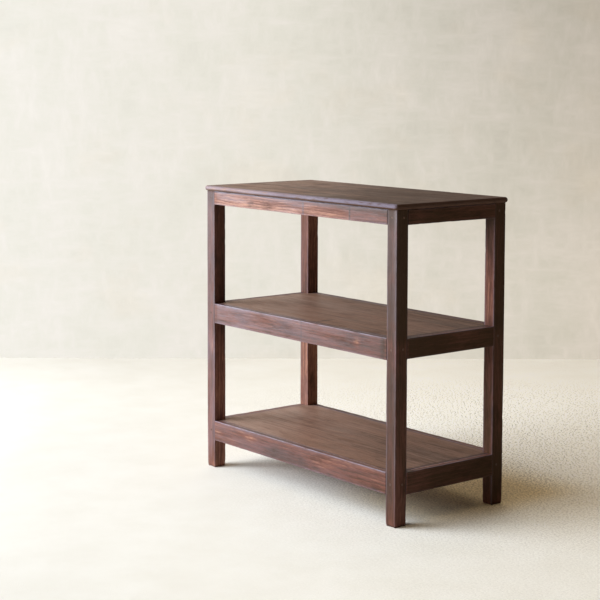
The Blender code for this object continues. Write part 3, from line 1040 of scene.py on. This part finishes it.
def add_lights():
    """A large cool window to the left, and a low one that reaches under the shelves."""
    at = RIGHT * -5.2 + AWAY * -0.35 + Vector((0, 0, 3.6))
    add_area("window", at, (0, 0, 0.3), (5.4, 3.6), 338, (0.84, 0.93, 1.0))
    at = RIGHT * -3.5 + AWAY * -0.3 + Vector((0, 0, 1.15))
    add_area("low_window", at, (0, 0, 0.30), (1.9, 0.9), 116, (0.92, 0.95, 1.0))


def room_light(g, towards, height):
    """What the room sends: warm from above, dimmer from the left, and nothing from the right."""
    away = g.vector("DOT_PRODUCT", towards, DIM_SIDE)
    left = g.ramp(g.times(away, -1.0), -0.1, 1.0)
    above = g.ramp(g.line(away, -1.3, height), 0.30, 1.10)
    colour = g.mix(above, (0.004, 0.003, 0.002), (1.24, 0.99, 0.69))
    return g.mix(left, colour, (0.38, 0.335, 0.26))


def plaster(g, towards, rightness, height):
    """The wall's colour and brightness: bands from left to right, with brushed plaster."""
    bands = g.node("ShaderNodeValToRGB")
    g.put(bands.inputs["Fac"], g.line(rightness, 0.5, 0.5))
    elements = bands.color_ramp.elements
    while len(elements) < len(WALL_BANDS):
        elements.new(0.5)
    for element, (position, colour) in zip(elements, WALL_BANDS):
        element.position = position
        element.color = (*colour, 1)

    # Painted shade: darker to the right and higher up
    shade = g.times(g.ramp(rightness, -0.05, 0.20), g.math("ADD", height, 0.13))
    shade = g.line(shade, -1.4, 1.0, clamp=True)
    upright = g.noise(towards, (150, 150, 60), 4.0, 0.65)
    level = g.noise(towards, (34, 34, 150), 4.0, 0.65)
    strokes = g.centred(g.math("MAXIMUM", upright, level), 0.55)
    mottle = g.line(strokes, 1.1, g.noise(towards, (26, 26, 20), 5.0, 0.65))
    depth = g.line(g.ramp(rightness, -0.10, 0.15), 0.12, 0.17)
    shade = g.times(shade, g.line(g.centred(mottle), depth, 1.01))
    tint = g.mix(g.ramp(mottle, 0.30, 0.70), (1.0, 1.0, 0.975), (1.0, 0.985, 0.985))
    blotch = g.ramp(g.noise(towards, (17, 17, 24), 4.0, 0.6), 0.50, 0.72)
    tint = g.mix(blotch, tint, (1.0, 0.975, 0.94))
    return g.mix(1.0, bands.outputs["Color"], tint, "MULTIPLY"), shade


def add_world():
    """The room's light on the rack, with the wall for what sees it or mirrors it."""
    world = bpy.data.worlds.new("room")
    bpy.context.scene.world = world
    world.use_nodes = True
    g = Graph(world.node_tree)
    towards = g.node("ShaderNodeTexCoord").outputs["Generated"]
    rightness = g.vector("DOT_PRODUCT", towards, tuple(RIGHT))
    height = g.vector("DOT_PRODUCT", towards, (0, 0, 1))

    lit = g.tree.nodes["Background"]
    g.put(lit.inputs["Color"], room_light(g, towards, height))
    wall = g.node("ShaderNodeBackground")
    colour, strength = plaster(g, towards, rightness, height)
    g.put(wall.inputs["Color"], colour)
    g.put(wall.inputs["Strength"], strength)

    path = g.node("ShaderNodeLightPath")
    seen = g.math("MAXIMUM", path.outputs["Is Camera Ray"], path.outputs["Is Glossy Ray"])
    seen = g.math("MAXIMUM", seen, path.outputs["Is Transmission Ray"])
    choice = g.node("ShaderNodeMixShader")
    g.put(choice.inputs[0], seen)
    g.put(choice.inputs[1], lit.outputs[0])
    g.put(choice.inputs[2], wall.outputs[0])
    g.put(g.tree.nodes["World Output"].inputs["Surface"], choice.outputs[0])


add_camera()
add_floor()
add_lights()
add_world()
frame_wood = wood_material("frame_wood", FRAME_WOOD)
top_wood = wood_material("top_wood", TOP_WOOD)
shelf_wood = wood_material("shelf_wood", SHELF_WOOD)
add_posts(frame_wood)
add_rails(frame_wood)
add_top(top_wood)
add_shelf("middle", shelf_wood, MIDDLE_SHELF_TONES, middle_shelf_drift, MIDDLE_SHELF_SEED)
add_shelf("bottom", shelf_wood, BOTTOM_SHELF_TONES, bottom_shelf_drift, BOTTOM_SHELF_SEED)
add_small_pieces()

bpy.context.scene.view_settings.view_transform = "Standard"
